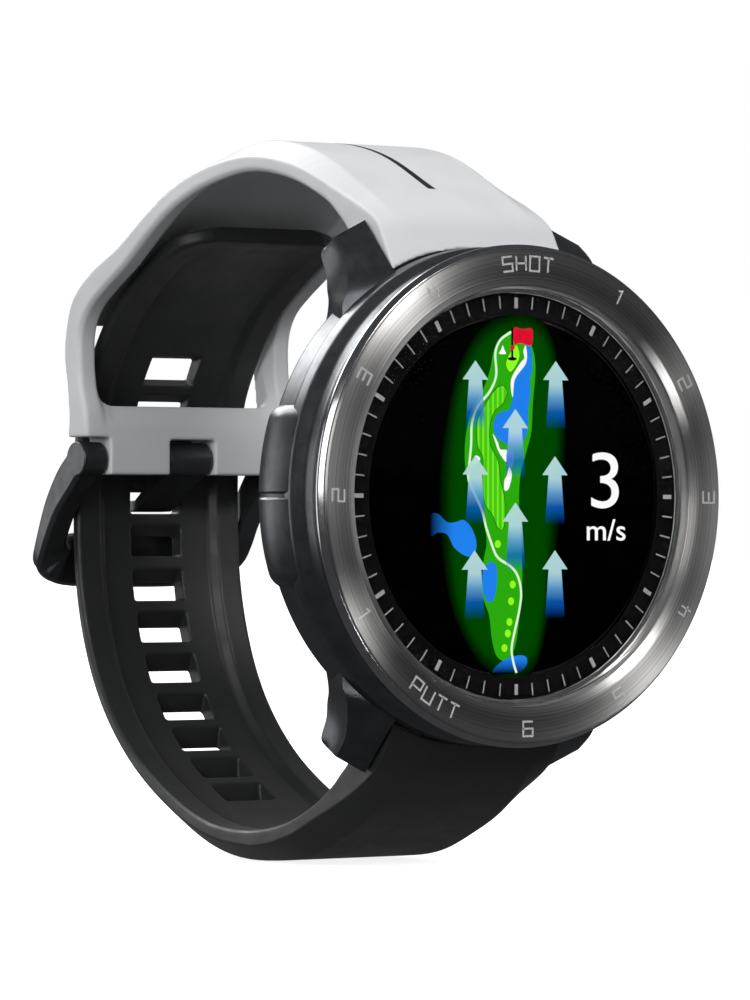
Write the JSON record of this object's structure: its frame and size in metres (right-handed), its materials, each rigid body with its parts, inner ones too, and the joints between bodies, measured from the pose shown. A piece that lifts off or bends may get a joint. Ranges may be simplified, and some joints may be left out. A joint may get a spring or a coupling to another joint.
{
  "type": "golf gps watch",
  "caption": "Round golf watch with a lettered steel bezel, a colour display showing a hole map, and a white and black rubber strap closed by a hinged buckle.",
  "frame": {"origin": "centre of the flat outer face of the sensor window on the case back, where the watch meets the wrist", "axes": "+Y out of the case back towards the wrist, so the dial faces -Y; +X towards 3 o'clock; +Z towards 12 o'clock"},
  "size_m": [0.0496, 0.0702, 0.0719],
  "materials": {
    "gunmetal_case": "satin gunmetal coating on a machined case",
    "brushed_steel": "fine circular brushing with polished edges",
    "bright_steel": "plain bright steel",
    "white_rubber": "smooth matte white strap rubber",
    "black_rubber": "smooth matte black strap rubber",
    "seal_rubber": "plain black seal rubber",
    "buckle_metal": "satin dark grey coating",
    "lens_glass": "clear hardened cover glass over a black display",
    "screen": "colour display with a golf hole map",
    "dial_black": "black ring with grey minute marks",
    "inner_plastic": "moulded black plastic",
    "board_green": "green circuit board",
    "chip_black": "black chip package",
    "battery_foil": "foil of a sealed lithium cell",
    "contact_gold": "gold plated contact metal"
  },
  "bodies": {
    "watch_case": {"case_body": "gunmetal_case", "side_guard": "gunmetal_case", "bezel": "brushed_steel", "bezel_gasket": "seal_rubber", "lens_gasket": "seal_rubber", "cover_lens": "lens_glass", "dial_ring": "dial_black", "display_panel": "screen", "display_holder": "inner_plastic", "antenna_ring": "contact_gold", "display_cable": "contact_gold", "main_board": "board_green", "processor_chip": "chip_black", "gps_chip": "chip_black", "memory_chip": "chip_black", "battery": "battery_foil", "vibration_motor": "bright_steel", "buzzer": "inner_plastic", "sensor_board": "board_green", "case_back": "brushed_steel", "sensor_window": "lens_glass", "back_gasket": "seal_rubber", "back_screw_1": "bright_steel", "back_screw_2": "bright_steel", "back_screw_3": "bright_steel", "back_screw_4": "bright_steel", "charging_contact_1": "contact_gold", "charging_contact_2": "contact_gold", "charging_contact_3": "contact_gold", "charging_contact_4": "contact_gold", "upper_button_seal": "seal_rubber", "upper_button_switch": "inner_plastic", "lower_button_seal": "seal_rubber", "lower_button_switch": "inner_plastic"},
    "upper_button": {"upper_button": "bright_steel", "upper_button_clip": "bright_steel"},
    "lower_button": {"lower_button": "bright_steel", "lower_button_clip": "bright_steel"},
    "upper_strap": {"upper_strap": "white_rubber", "upper_spring_bar": "bright_steel", "upper_bar_spring": "bright_steel", "buckle_pin": "bright_steel"},
    "lower_strap": {"lower_strap": "black_rubber", "lower_spring_bar": "bright_steel", "lower_bar_spring": "bright_steel"},
    "upper_release_pin": {"upper_release_pin": "bright_steel"},
    "lower_release_pin": {"lower_release_pin": "bright_steel"},
    "buckle_frame": {"buckle_frame": "buckle_metal"},
    "buckle_prong": {"buckle_prong": "buckle_metal"}
  },
  "joints": [
    {"name": "upper_strap_hinge", "type": "hinge", "parent": "watch_case", "child": "upper_strap", "pos_m": [0, -0.0009, 0.0245], "axis": [1, 0, 0], "range_deg": [-0.8, 0.8]},
    {"name": "lower_strap_hinge", "type": "hinge", "parent": "watch_case", "child": "lower_strap", "pos_m": [0, -0.0009, -0.0245], "axis": [1, 0, 0], "range_deg": [-0.8, 0.8]},
    {"name": "buckle_frame_hinge", "type": "hinge", "parent": "upper_strap", "child": "buckle_frame", "pos_m": [0, 0.0471, 0.0041], "axis": [1, 0, 0], "range_deg": [0, 55]},
    {"name": "buckle_prong_hinge", "type": "hinge", "parent": "upper_strap", "child": "buckle_prong", "pos_m": [0, 0.0471, 0.0041], "axis": [1, 0, 0], "range_deg": [0, 6]},
    {"name": "upper_button_press", "type": "slide", "parent": "watch_case", "child": "upper_button", "axis": [-1, 0, 0], "range_m": [0, 0.0007], "stiffness_N_per_m": 2000, "springref_m": -0.0005},
    {"name": "lower_button_press", "type": "slide", "parent": "watch_case", "child": "lower_button", "axis": [-1, 0, 0], "range_m": [0, 0.0007], "stiffness_N_per_m": 2000, "springref_m": -0.0005},
    {"name": "upper_release_slide", "type": "slide", "parent": "upper_strap", "child": "upper_release_pin", "axis": [-1, 0, 0], "range_m": [0, 0.0013], "stiffness_N_per_m": 800, "springref_m": -0.001},
    {"name": "lower_release_slide", "type": "slide", "parent": "lower_strap", "child": "lower_release_pin", "axis": [-1, 0, 0], "range_m": [0, 0.0013], "stiffness_N_per_m": 800, "springref_m": -0.001}
  ],
  "couplings": [
    {"joint": "lower_strap_hinge", "follows": "upper_strap_hinge", "ratio": 1}
  ]
}
